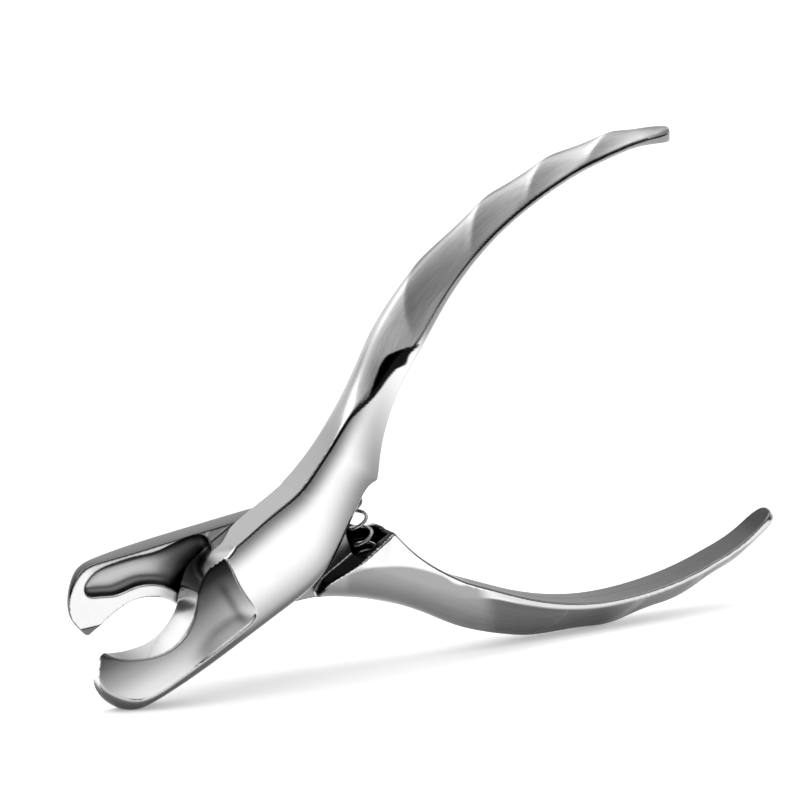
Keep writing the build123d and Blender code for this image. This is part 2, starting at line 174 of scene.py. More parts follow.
def closed_spline(pts):
    p = pts[-3:] + pts + pts[:3]
    c = spline(p)
    a = np.argmin(((c - np.array(pts[0])) ** 2).sum(1))
    ends = np.where(((c - np.array(pts[0])) ** 2).sum(1) < 1e-6)[0]
    return c[ends[0]:ends[-1]]


def rmax(a, b, r):
    """Intersection with a rounded edge of radius r."""
    u, v = np.maximum(a + r, 0), np.maximum(b + r, 0)
    return np.minimum(np.maximum(a, b), -r) + np.sqrt(u * u + v * v)


def rmin(a, b, r):
    return -rmax(-a, -b, r)


def smooth(x, a, b):
    t = np.clip((x - a) / (b - a), 0, 1)
    return t * t * (3 - 2 * t)


def table(x, pts):
    p = np.array(pts, float)
    return np.interp(x, p[:, 0], p[:, 1])


def smooth_table(x, pts, s):
    g = np.arange(-90, 200, 0.5)
    v = table(g, pts)
    k = np.exp(-0.5 * (np.arange(-4 * s, 4 * s + .1, 0.5) / s) ** 2)
    v = np.convolve(np.pad(v, len(k) // 2, mode="edge"), k / k.sum(), mode="valid")
    return np.interp(x, g, v[:len(g)]).astype(np.float32)


def blur(a, s):
    """Gaussian blur of an x-z map, s in mm."""
    k = np.exp(-0.5 * (np.arange(-3 * s, 3 * s + 1e-6, H) / s) ** 2)
    k /= k.sum()
    h = len(k) // 2
    for ax in (0, 1):
        q = np.pad(a, [(h, h) if i == ax else (0, 0) for i in (0, 1)], mode="edge")
        n = a.shape[ax]
        a = sum(w * (q[i:i + n] if ax == 0 else q[:, i:i + n]) for i, w in enumerate(k))
    return a


def build_field():
    inner = spline(INNER)
    outer = spline(OUTER)
    jaw = spline(JAW)
    far_away = np.array([(170.0, 56.0), (230.0, 20.0), (230.0, 130.0), (-120.0, 130.0), (-120.0, 20.0)])
    low = sdf(np.vstack([jaw, inner, far_away]))            # near half: outside below the lever
    lowf = sdf(np.vstack([np.array(FAR[:9]), inner, far_away[:3], [(12.3, 130.0)]]))
    do, so, xo = nearest(outer)
    do = -do * so                                            # depth under the crest
    nut = sdf(np.vstack([spline(THROAT), spline(NUT_ARC)[1:], [(-80, 6.0), (-80, 50), (-14.0, 50), (-14.0, 13.2)]]))
    pocket = sdf(closed_spline(POCKET))
    scoop = sdf(closed_spline(SCOOP))
    tip_d = np.hypot(GX - 158.2, GZ - 62.9) - 0.0

    # half width
    W = smooth_table(GX, [(2, 12.0), (7, 11.95), (11, 11.45), (15.2, 10.5), (20.8, 9.2), (27, 7.8), (34, 6.4), (39.6, 5.5),
                          (43.2, 5.2), (47.6, 5.3), (52.5, 5.5), (57, 5.7), (63, 5.9), (80, 6.0)], 1.6)
    slant = smooth_table(GX, [(6, 0), (15, 0.03), (22, 0.05), (29, 0.08), (36, 0.10), (43, 0.12), (50, 0.10), (58, 0.04), (64, 0)], 2)
    W = W + slant * np.clip(-low, 0, 24)
    Wg = smooth_table(xo, [(50, 6.6), (60, 6.2), (70, 6.0), (118, 5.9), (130, 5.6), (140, 5.3), (148, 4.9), (154, 4.4), (170, 3.8)], 4)
    m = smooth(GX, 50, 68)
    W = W * (1 - m) + Wg * m
    Wj = smooth_table(GX, [(-66, 2.6), (-61.8, 3.8), (-58, 5.3), (-52, 7.6), (-46, 9.6), (-38, 11.2), (-30, 11.9), (-22, 12)], 2)
    m = smooth(GX, -30, -18)
    W = Wj * (1 - m) + W * m
    # rounded tongue at the grip's end
    end = np.clip((GX - 155.2 + 0.35 * (62 - GZ)) / 7.0, 0, 1)
    W = W * np.sqrt(np.clip(1 - end ** 2.2, 0.0004, 1))
    # the side face rolls over towards the ridge
    roll = np.maximum(0, 15.0 - do) ** 2 * 0.0042 * smooth(GX, -26, -10) * (1 - smooth(GX, 36, 56))
    Ws = W - roll
    gW = np.gradient(Ws, H)
    nW = 1 / np.sqrt(1 + gW[0] ** 2 + gW[1] ** 2)

    Y = gy[None, :, None].astype(np.float32)
    E = lambda a: a[:, None, :].astype(np.float32)
    aY = np.abs(Y)
    # crown with its diagonal waves
    c = smooth_table(xo, [(20, 0), (29, 0.5), (36, 1.4), (43.2, 6.3), (49.5, 8.7), (56, 8.9), (61.5, 8.7), (68, 8.2),
                          (75.6, 7.4), (83, 6.9), (103, 6.2), (113, 5.5), (127, 4.5), (140, 3.5), (150, 2.7), (158, 2.0), (163, 1.2)], 2.2)
    thick = np.clip(do - low, 0, 16)
    m = smooth(GX, 50, 66) * smooth(GZ, 30, 36)
    c = c * (1 - m) + m * np.clip(thick - smooth_table(xo, [(50, 2.4), (70, 1.9), (100, 1.6), (148, 1.5), (156, 2.2), (164, 3.0)], 3), 0.8, 12)
    amp = smooth_table(xo, [(62, 0), (72, 0.24), (84, 0.45), (100, 0.55), (130, 0.52), (150, 0.42), (158, 0.2), (164, 0.1)], 3)
    Wf = W * (1 - 0.22 * (1 - smooth(GX, 14, 38)))
    u = np.minimum(aY / np.maximum(np.where(Y > 0, E(Wf), E(W)), 0.3), 1.15)
    power = smooth_table(xo, [(40, 3.2), (66, 2.4), (84, 1.75), (130, 1.7), (165, 1.8)], 4)
    lean = smooth_table(GX, [(12, 0.62), (20, 0.50), (30, 0.28), (42, 0.0)], 2)
    cf = smooth_table(xo, [(8, 7.8), (36, 8.0), (46, 8.4), (56, 8.9), (61.5, 8.7), (68, 8.2),
                           (75.6, 7.4), (83, 6.9), (103, 6.2), (113, 5.5), (127, 4.5), (140, 3.5), (150, 2.7), (158, 2.0), (163, 1.2)], 2.2)
    pf = smooth_table(xo, [(20, 2.1), (50, 2.3), (66, 2.4), (84, 1.75), (130, 1.7), (165, 1.8)], 4)
    drop = np.where(Y > 0, E(cf) * u ** E(pf) + E(lean) * Y, E(c) * u ** E(power))
    ph = table(E(xo) - LEAN * Y, WAVE).astype(np.float32)
    ph = np.abs(ph - np.round(ph)) * 2                       # 0 on a ridge, 1 in the middle of a facet
    ph = np.sqrt(ph * ph + 0.014)
    tri = 2 * (1 - ph) ** 2 - 1
    drop = drop - E(amp) * tri * np.clip(1 - u ** 7, 0, 1)
    gd = np.gradient(drop, H, axis=1)
    gd0 = np.gradient(drop, H, axis=0)
    top = (drop - E(do)) / np.sqrt(1 + gd ** 2 + 0.8 * gd0 ** 2)

    side = np.where(Y > 0, aY - E(Wf), aY - E(Ws)) * E(nW)
    # near half
    r = 0.35 + smooth_table(GX, [(-62, 2.6), (-50, 4.2), (-30, 5.2), (10, 6.0), (20, 4.5), (30, 1.6), (38, 0.1), (170, 0.1)], 2)
    near = rmax(E(low), side, E(r))
    near = rmax(near, top, 0.35)
    near = rmax(near, Y + 0.15, 0.25)
    # full-width root and grip
    full = rmax(E(lowf), side, 0.45)
    full = rmax(full, top, 0.35)
    f = rmin(near, full, 0.3)
    f = rmax(f, E((GX - 155.2 + 0.35 * (62 - GZ)) - 6.9), 1.5)
    # nut opening, flared towards the outer side
    fl = 1.7 * np.clip(-Y / 12, 0, 1.1) * E(1 - 0.0 * GX)
    f = rmax(f, -(E(nut) - fl), 0.35 + 0.9 * E(smooth(GX, -51, -56)))
    # relief of the lap face outside the land
    rho = np.hypot(GX, GZ)
    rel = np.where(GX < -6, 0.2 * smooth(rho, 20.3, 20.9), 0)
    f = rmax(f, Y + 0.15 + E(rel) - 40 * (Y > 0.5) * E((GX > 5).astype(float)) - 90 * E((GX > 8).astype(float)), 0.2)
    # bevel at the jaw's tip
    n = np.array([-0.243, 0.971])
    tq = (GX + 68.0) * n[0] + (GZ + 8.1) * n[1]
    bev = (E(tq) * 5.4 + (Y + 0.35) * 7) / math.hypot(5.4, 7)
    f = np.where(E(GX) < -44.0, rmax(f, bev, 0.2), f)
    # hollow in the lap face
    dep = 3.0 * (1 - np.exp(-np.clip(-pocket, 0, 9) / 0.8))
    cut = rmax(E(pocket), -(Y + 0.35 + E(dep)), 0.2)
    f = rmax(f, -cut, 0.25)
    # dish in the outer face
    d0 = 0.75 + 2.3 * smooth(GX, -38, -22)
    dd = blur(d0 * (1 - np.exp(-np.clip(-scoop, 0, 9) / 1.8)), 2.0)
    cut = np.maximum(E(scoop), (E(Ws - dd) + Y) * 0.8)
    f = rmax(f, -cut, 0.3)
    # seat of the spring
    seat = np.maximum(np.hypot(E(GX) - 31.5, Y) - 4.3, E(GZ) - 15.0)
    slot = np.maximum(np.maximum(np.abs(E(GX) - 34.0) - 3.5, aY - 3.8), E(GZ) - 12.0)
    f = rmax(f, -seat, 0.25)
    f = rmax(f, -slot, 0.25)
    maps = dict(lowf=lowf, xo=xo, do=do, W=W, Ws=Ws, low=low, nut=nut, pocket=pocket, scoop=scoop, c=c, power=power)
    return f.astype(np.float32), maps


def bore(f, lo, hi, rad):
    rr = np.hypot(gx[:, None, None], gz[None, None, :]).astype(np.float32) - rad
    yy = np.maximum(lo - gy, gy - hi)[None, :, None].astype(np.float32)
    return np.maximum(f, -np.maximum(rr, yy))


def weights(t):
    w = np.stack([(1 - t) ** 3, 3 * t ** 3 - 6 * t ** 2 + 4, -3 * t ** 3 + 3 * t ** 2 + 3 * t + 1, t ** 3], 1) / 6
    d = np.stack([-(1 - t) ** 2, 3 * t ** 2 - 4 * t, -3 * t ** 2 + 2 * t + 1, t ** 2], 1) / 2
    return w, d


def sample(f, p):
    """Value and gradient of the field at points, by cubic B-splines."""
    q = (p - np.array([X0, Y0, Z0])) / H
    i = np.clip(np.floor(q).astype(int), 1, np.array(f.shape) - 3)
    t = q - i
    (wx, dx), (wy, dy), (wz, dz) = [weights(t[:, k]) for k in range(3)]
    v = np.zeros(len(p)); g = np.zeros((len(p), 3))
    for a in range(4):
        for b in range(4):
            for c in range(4):
                s = f[i[:, 0] + a - 1, i[:, 1] + b - 1, i[:, 2] + c - 1]
                v += s * wx[:, a] * wy[:, b] * wz[:, c]
                g[:, 0] += s * dx[:, a] * wy[:, b] * wz[:, c]
                g[:, 1] += s * wx[:, a] * dy[:, b] * wz[:, c]
                g[:, 2] += s * wx[:, a] * wy[:, b] * dz[:, c]
    return v, g / H


def polygonise(f):
    grid = openvdb.FloatGrid()
    grid.background = 3.0
    grid.copyFromArray(np.clip(f, -3, 3))
    pts, quads = grid.convertToQuads()
    pts = np.array(pts, float) * H + np.array([X0, Y0, Z0])
    for _ in range(3):
        v, g = sample(f, pts)
        g2 = np.maximum((g ** 2).sum(1), 0.15)
        step = np.clip(v / g2, -0.25, 0.25)
        pts = pts - g * step[:, None]
    v, g = sample(f, pts)
    nrm = g / np.maximum(np.linalg.norm(g, axis=1), 1e-9)[:, None]
    quads = np.array(quads)
    fn = np.cross(pts[quads[:, 2]] - pts[quads[:, 0]], pts[quads[:, 3]] - pts[quads[:, 1]])
    if (fn * nrm[quads[:, 0]]).sum() < 0:
        quads = quads[:, ::-1]
    return pts, quads, nrm


def at2(a, p):
    """Bilinear value of an x-z map at lever-frame points."""
    qx = np.clip((p[:, 0] - X0) / H, 0, NX - 1.001); qz = np.clip((p[:, 2] - Z0) / H, 0, NZ - 1.001)
    i, k = qx.astype(int), qz.astype(int)
    u, w = qx - i, qz - k
    return (a[i, k] * (1 - u) * (1 - w) + a[i + 1, k] * u * (1 - w) + a[i, k + 1] * (1 - u) * w + a[i + 1, k + 1] * u * w)


def line_dist(p, pts):
    """Distance of points from a polyline in x-z, with the position along it (0 to 1) and the side."""
    c = spline(pts, 0.8)
    a, d = c[:-1], np.diff(c, axis=0)
    out = np.empty(len(p)); par = np.empty(len(p)); sd = np.empty(len(p))
    for i in range(0, len(p), 8000):
        q = p[i:i + 8000][:, None, [0, 2]] - a[None]
        t = np.clip((q * d).sum(2) / (d ** 2).sum(1), 0, 1)
        e = q - t[..., None] * d
        m = (e ** 2).sum(2); j = m.argmin(1); r = np.arange(len(j))
        out[i:i + 8000] = np.sqrt(m[r, j]); par[i:i + 8000] = (j + t[r, j]) / len(a)
        sd[i:i + 8000] = d[j, 0] * q[r, j, 1] - d[j, 1] * q[r, j, 0]
    return out, par, np.sign(sd)


# outline of a black sliver of painted reflection on the front lever's near side
BLACK_REFLECTION_SLIVER = [(33.5, 29.6), (37.0, 30.6), (42.5, 32.6), (47.0, 36.6), (51.1, 40.4), (53.5, 41.4), (57.8, 41.3), (62.8, 40.6),
        (59.0, 39.2), (57.4, 37.2), (55.4, 37.0), (52.0, 36.6), (49.0, 34.6), (44.0, 32.0), (40.0, 30.9), (36.0, 30.0)]
# line across the rear lever's root where its painted reflection turns from bright to grey
REAR_REFLECTION_EDGE = [(20.0, 13.4), (22.3, 13.8), (26.5, 14.2), (31.9, 16.2), (38.8, 19.8), (45.4, 24.5), (50.7, 29.4), (52.7, 32.1),
             (55.4, 34.1), (58.2, 35.3), (62.1, 38.8)]


def inside_pts(p, poly):
    r = np.zeros(len(p), bool)
    x, z = p[:, 0], p[:, 2]
    q = poly[1:] + poly[:1]
    for (x1, z1), (x2, z2) in zip(poly, q):
        if z1 != z2:
            c = (z > min(z1, z2)) & (z <= max(z1, z2))
            r ^= c & (x < x1 + (z - z1) * (x2 - x1) / (z2 - z1))
    return r


def sr(v):
    return (np.asarray(v, float) / 255.0) ** 2.2


def surface_maps(p, n, flipped):
    """Tone, brushing and satin of each vertex from where it is on the casting; the tone holds painted light and shade.
    Painted shade darkens recesses, undersides and the creases between polished faces, painted highlights and
    reflections are laid on the joint, dish and grips, and grip faces are brushed."""
    x, y, z = p.T
    M = {k: at2(MAPS[k], p) for k in MAPS}
    xo, do, low, W, nut, c = M["xo"], M["do"], M["low"], M["W"], M["nut"], M["c"]
    nw = dir_world(n * (np.array([1, -1, -1]) if flipped else 1))
    nz = nw[:, 2]
    sat = np.zeros(len(p))
    tone = np.full(len(p), 0.74)
    # painted shade on down-facing faces
    tone *= 1 - 0.72 * smooth(-nz, 0.05, 0.80)                     # undersides
    # joint: shade under the ridge and along the lower edge
    side = smooth(-n[:, 1], 0.55, 0.85) * (y < -4)
    if not flipped:
        sh = smooth(do, 7.5, 0.8) * side * smooth(x, 48, 38) * smooth(x, -24, -14)
        tone *= 1 - 0.80 * sh
        sh = smooth(-low, 14.0, 0.5) * (y < -3) * smooth(x, 58, 34)
        tone *= 1 - 0.74 * sh
    # brushed faces: crown of the grip and its inner face, whose greys hold painted light
    inner_n = smooth(np.abs(low), 0.6, 0.1) * smooth(x, 44, 52)
    crown = smooth(c - do, -0.1, 0.35)
    brush = np.maximum((0.6 * smooth(xo, 24, 40) + 0.4 * smooth(xo, 42, 54)) * crown, 0.8 * inner_n * smooth(x, 50, 62))
    ph = table(xo - LEAN * y, WAVE)
    fr = ph - np.floor(ph)
    fade = smooth(ph, -1.06, -0.97)
    # painted highlight on each wave ridge and painted shade across its facets
    facet_painted_light = np.interp(fr, [0, 0.05, 0.35, 0.62, 0.86, 0.955, 1.0], sr([178, 150, 156, 170, 188, 218, 206]))
    g = sr(218) * (1 - fade) + facet_painted_light * fade
    # painted shade: the crown greys towards the crease
    g = g + (sr(176) - g) * 0.85 * smooth(do / np.maximum(c, 1), 0.35, 0.95)
    if flipped:
        # rear lever: painted shade on its downward-facing crown and inner face, with painted highlights on the ridges
        g = np.interp(xo, [50, 62, 96, 104, 150], sr([120, 104, 100, 128, 150])) * (1 + 0.35 * (fr > 0.86) * fade)
        g = np.where(inner_n > 0.5, np.interp(x, [46, 74, 92, 150], sr([92, 100, 118, 96])), g)
    else:
        g = np.where(inner_n > 0.5, sr(165), g)
    tone = tone * (1 - brush) + brush * g
    if flipped:
        m = inner_n * smooth(x, 44, 48)
        tone = tone * (1 - m) + m * g
    # painted shade: darker towards the grip's rounded end
    tone *= 1 - 0.42 * smooth(xo, 150, 158)
    # nut opening wall: painted light and shade along it, dark at both ends and bright in the middle
    wall = smooth(nut, 3.0, 0.4) * smooth(x, -16, -20) * (np.abs(n[:, 1]) < 0.75)
    t = np.interp(x, [-58, -52, -46, -38, -32, -28, -24, -20], sr([110, 150, 205, 242, 236, 160, 80, 60]))
    tone = tone * (1 - wall) + wall * t
    # dish: painted reflection, bright low in the dish and black towards its top, with painted shade at one end and a
    # painted highlight on its rim
    sc = M["scoop"]
    m = smooth(-sc, -0.15, 0.35) * (y < -3) * smooth(nut, 0.2, 0.8) * (n[:, 1] < -0.2)
    t = np.interp(z - 0.18 * (x + 30), [-18, -12, -7, -1, 4, 8, 11], sr([236, 214, 160, 100, 46, 12, 4]))
    # painted shade along the dish's end nearest the pivot
    right = np.exp(-((x + 0.22 * z + 18.6) / 1.3) ** 2)
    t = t * (1 - 0.50 * right * smooth(z, -12, -7) * smooth(z, 6, 1))
    tone = tone * (1 - m) + m * t
    sat = np.maximum(sat, 1.2 * m)
    # painted highlight along the dish's rim
    rim = np.exp(-((sc - 0.25) / 0.30) ** 2) * (y < -3) * smooth(nut, 0.3, 1.0) * smooth(z, 9, 3) * smooth(-x, 11, 13) * (n[:, 1] < -0.3)
    tone = tone + (0.75 - tone) * 0.55 * rim
    # nose and lower edge of the jaw, outside the dish: painted shade
    out = smooth(sc, 0.5, 1.3) * smooth(x, -14, -22) * (n[:, 1] < 0.3) * (n[:, 1] > -0.97) * smooth(nut, 1.2, 2.5) * (z < 4)
    tone = tone * (1 - out) + out * sr(92)
    # hollow in the lap face: painted shade, darkest at its rim and with a painted shadow across one side
    pk = M["pocket"]
    m = smooth(-pk, -0.15, 0.25) * (y > -4.4) * (y < -0.40)
    t = np.interp(-pk, [0, 0.4, 1.1, 2.2, 4.0], sr([34, 50, 104, 158, 184])) * (1 - 0.94 * smooth(0.416 * (x + 28.8) + 0.909 * (z + 5.1), -1.0, 0.8))
    tone = tone * (1 - m) + m * t
    sat = np.maximum(sat, m)
    lap = (n[:, 1] > 0.92) * (y > -0.6) * (y < 0.3) * (pk > 0)
    strip = smooth(-low, 4.6, 3.8) * (x < -5)
    tone = np.where(lap > 0, sr(222) - 0.20 * strip * smooth(x, -54, -50), tone)
    sat = np.where(lap > 0, 0.7, sat)
    # painted shade: a dark line along the hollow's edge on the lap face
    edge = np.exp(-(pk / 0.28) ** 2) * lap
    tone *= 1 - 0.6 * edge
    # painted shade on the bevel at the jaw's tip
    bevel = (n[:, 1] > 0.3) * (n[:, 1] < 0.92) * (x < -44) * (pk > 0.5) * (y > -6)
    tone = np.where(bevel > 0, sr(105), tone)
    if flipped:
        # rear lever: painted shade along its jaw's lower edge
        m = smooth(np.abs(low), 1.6, 0.8) * (x < 9) * (z < -6) * smooth(x, -60, -54)
        m = m * np.maximum(smooth(n[:, 1], 0.9, 0.75), smooth(np.abs(low), 0.9, 0.5))
        tone = tone * (1 - m) + m * (sr(118) - 0.07 * smooth(y, -6, 0))
    else:
        # front lever: painted shade along the crest
        m = smooth(do, 0.7, 0.25) * (n[:, 1] > -0.6) * smooth(x, 46, 26)
        tone *= 1 - 0.30 * m
    # root step and the seat of the spring: painted shade in both
    step = (np.abs(M["lowf"]) < 0.9) * (x < 39.4) * (x > 11) * (y > 0.3) * (np.abs(n[:, 1]) < 0.8)
    tone = np.where(step > 0, sr(44), tone)
    seat_painted_shade = smooth(np.hypot(x - 33.0, y), 6.6, 5.6) * (z < 15.6) * (do > 3) * (np.abs(y) < 4.6)
    tone = tone * (1 - seat_painted_shade) + seat_painted_shade * sr(46)
    # painted shade on the lap face of the root, between the two levers
    lapr = (n[:, 1] > 0.9) * (np.abs(y) < 0.5) * (x > 5)
    tone = np.where(lapr > 0, sr(135), tone)
    # painted dark reflection line along the rounded edge where the crown meets the side
    w0 = np.interp(xo, [-18, -17, -8, 10, 25, 36, 44, 60, 75, 150, 158], [-0.3, 0.02, 0.10, 0.2, 0.36, 0.55, 0.5, 0.18, 0.18, 0.16, -0.3])
    edge = np.hypot(np.maximum(do - c, 0) + 1.6 * np.maximum(c - do, 0), np.maximum(0, y + M["Ws"]) * (c < 1.5))
    painted_crease_line = np.exp(-(np.maximum(0, edge - np.maximum(w0, 0)) / 0.22) ** 2) * (y < -0.72 * W) * (w0 > -0.05)
    if flipped:
        # rear lever: a fainter painted dark line along its crown's edge
        painted_crease_line = np.exp(-(np.maximum(0, np.abs(do - c) - 0.1) / 0.20) ** 2) * (y > 0.8 * W) * smooth(xo, 60, 70) * (1 - smooth(xo, 148, 156)) * 0.5
        # rear lever: painted reflection, grey on one side of this line and darker towards the crest
        d, par, sd = line_dist(p, REAR_REFLECTION_EDGE)
        m = smooth(d * sd, -0.35, 0.45) * (y > 2) * smooth(x, 19, 22) * (1 - smooth(x, 58, 64)) * (np.abs(n[:, 1]) > 0.15) * (np.abs(M["lowf"]) > 0.9)
        tone = tone * (1 - m) + m * (sr(150) - 0.10 * smooth(do, 9, 2))
    else:
        # front lever: black sliver of painted reflection with a thin dark outline; no brushing inside it
        reflection_sliver = inside_pts(p, BLACK_REFLECTION_SLIVER) & (y < -2.0)
        dl, _, _ = line_dist(p, BLACK_REFLECTION_SLIVER + BLACK_REFLECTION_SLIVER[:1])
        m = np.where(reflection_sliver, 1.0, np.exp(-(dl / 0.22) ** 2) * (y < -2.0))
        tone *= 1 - 0.985 * m
        brush *= 1 - m
    tone *= 1 - 0.94 * painted_crease_line
    # painted light and shade on the grip's side below the crown: grey on the front lever, light on the rear
    side_band_painted_shade = smooth(do - c, 0.25, 0.6) * smooth(x, 60, 68) * (1 - inner_n)
    tone = tone * (1 - side_band_painted_shade) + side_band_painted_shade * (sr(138) if not flipped else sr(200)) * (1 - 0.94 * painted_crease_line)
    flow = np.stack([xo, do, y], 1)
    return np.clip(tone, 0.006, 0.95), np.clip(brush, 0, 1), np.clip(sat, 0, 1.2), flow


def make_mesh(name, pts, quads, nrm, coords):
    me = bpy.data.meshes.new(name)
    me.from_pydata(pts.tolist(), [], quads.tolist())
    me.update()
    a = me.attributes.new("lever_mm", "FLOAT_VECTOR", "POINT")
    a.data.foreach_set("vector", coords.astype(np.float32).ravel())
    me.polygons.foreach_set("use_smooth", np.ones(len(me.polygons), bool))
    me.normals_split_custom_set_from_vertices(nrm.tolist())
    ob = bpy.data.objects.new(name, me)
    bpy.context.scene.collection.objects.link(ob)
    return ob


def keep_largest(pts, quads, nrm):
    """Drops any speck that isn't joined to the main surface."""
    n = len(pts)
    lab = np.arange(n)
    while True:
        m = lab[quads].min(1)
        new = lab.copy()
        np.minimum.at(new, quads.ravel(), np.repeat(m, 4))
        new = new[new]
        if (new == lab).all():
            break
        lab = new
    vals, cnt = np.unique(lab, return_counts=True)
    big = vals[cnt.argmax()]
    keepv = lab == big
    print("pieces", len(vals), "kept", int(keepv.sum()), "of", n)
    idx = np.cumsum(keepv) - 1
    q = quads[keepv[quads].all(1)]
    return pts[keepv], idx[q], nrm[keepv]


import time
t0 = time.time()
F, MAPS = build_field()
print("field", round(time.time() - t0, 1))
fa = bore(bore(F, -2.2, 30, 4.04), -9.6, 30, 3.0)
pa, qa, na = keep_largest(*polygonise(fa))
front = make_mesh("lever_front_skin", to_world(pa), qa, dir_world(na), pa)
fb = bore(bore(bore(F, -30, 30, 4.04), -30, -6.8, 6.0), -30, -10.6, 6.55)
pb, qb, nb = keep_largest(*polygonise(fb))
flip = np.array([1, -1, -1])
rear = make_mesh("lever_rear_skin", to_world(pb * flip), qb, dir_world(nb * flip), pb)
print("levers", round(time.time() - t0, 1), len(qa), len(qb))
for ob, p, n, fl in ((front, pa, na, False), (rear, pb, nb, True)):
    # the tone attribute carries painted light and shade as well as the steel's own colour
    tone, brush, satin, flow = surface_maps(p, n, fl)
    for nm, v in (("tone", tone), ("brush", brush), ("satin", satin)):
        ob.data.attributes.new(nm, "FLOAT", "POINT").data.foreach_set("value", v.astype(np.float32))
    ob.data.attributes.new("flow", "FLOAT_VECTOR", "POINT").data.foreach_set("vector", flow.astype(np.float32).ravel())
print("maps", round(time.time() - t0, 1))
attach(front, "front_lever"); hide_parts("lever_front")
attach(rear, "rear_lever"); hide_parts("lever_rear")

# ------------------------------------------------------------------ spring
def make_spring():
    L = 15.0
    z0, z1 = -L + 0.7, L - 0.7
    turns = 6.5
    pts = []
    n = 620
    for i in range(n + 1):
        t = i / n
        # closed end turns, open between them
        s = t * turns
        e = 0.9
        if s < e:
            z = z0 + 1.15 * s / 1.0 * 0.5 * (s / e) + 0.55 * s * 0
        zz = np.interp(s, [0, 0.9, 5.6, 6.5], [0, 0.045, 0.955, 1.0])
        z = z0 + (z1 - z0) * (0.75 * zz + 0.25 * t)
        rr = 3.3 + (2.0 - 3.3) * t
        a = 2 * math.pi * s + 0.6
        pts.append((31.5 + rr * math.cos(a), rr * math.sin(a), z))
    return np.array(pts)


def tube(name, path, rad, sides=14):
    d = np.gradient(path, axis=0); d /= np.linalg.norm(d, axis=1)[:, None]
    up = np.array([0, 0, 1.0])
    a = np.cross(d, up); a /= np.linalg.norm(a, axis=1)[:, None]
    b = np.cross(d, a)
    ang = np.arange(sides) * 2 * math.pi / sides
    v = (path[:, None, :] + rad * (np.cos(ang)[None, :, None] * a[:, None, :] + np.sin(ang)[None, :, None] * b[:, None, :]))
    n = len(path)
    q = []
    for i in range(n - 1):
        for j in range(sides):
            k = (j + 1) % sides
            q.append((i * sides + j, i * sides + k, (i + 1) * sides + k, (i + 1) * sides + j))
    verts = v.reshape(-1, 3)
    verts = np.vstack([verts, path[:1] - d[:1] * rad * 0.25, path[-1:] + d[-1:] * rad * 0.25])
    c0, c1 = n * sides, n * sides + 1
    for j in range(sides):
        k = (j + 1) % sides
        q.append((c0, k, j)); q.append((c1, (n - 1) * sides + j, (n - 1) * sides + k))
    me = bpy.data.meshes.new(name)
    me.from_pydata(to_world(verts).tolist(), [], q)
    me.update()
    me.polygons.foreach_set("use_smooth", np.ones(len(me.polygons), bool))
    ob = bpy.data.objects.new(name, me)
    bpy.context.scene.collection.objects.link(ob)
    return ob


spring = tube("spring_coil", make_spring(), 0.55)
ends = to_world(np.array([[31.5, 0, -12.5], [31.5, 0, 12.5]]))
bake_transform(spring)
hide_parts("return_spring")

# ------------------------------------------------------------------ materials
def new_mat(name, color, metallic=1.0, rough=0.2):
    m = bpy.data.materials.new(name); m.use_nodes = True
    nt = m.node_tree; b = nt.nodes["Principled BSDF"]
    b.inputs["Base Color"].default_value = (*color, 1)
    b.inputs["Metallic"].default_value = metallic
    b.inputs["Roughness"].default_value = rough
    return m, nt, b


def attr(nt, name):
    a = nt.nodes.new("ShaderNodeAttribute"); a.attribute_name = name
    return a


def math_node(nt, op, a, b=None, c=None):
    n = nt.nodes.new("ShaderNodeMath"); n.operation = op
    for i, v in enumerate((a, b, c)):
        if v is None:
            continue
        if isinstance(v, (int, float)):
            n.inputs[i].default_value = v
        else:
            nt.links.new(v, n.inputs[i])
    return n.outputs[0]


def noise(nt, vec, scale, detail=3.0, stretch=(1, 1, 1), rough=0.55):
    mp = nt.nodes.new("ShaderNodeMapping"); mp.inputs["Scale"].default_value = stretch
    nt.links.new(vec, mp.inputs["Vector"])
    n = nt.nodes.new("ShaderNodeTexNoise"); n.inputs["Scale"].default_value = scale
    n.inputs["Detail"].default_value = detail; n.inputs["Roughness"].default_value = rough
    nt.links.new(mp.outputs["Vector"], n.inputs["Vector"])
    return n.outputs["Fac"]


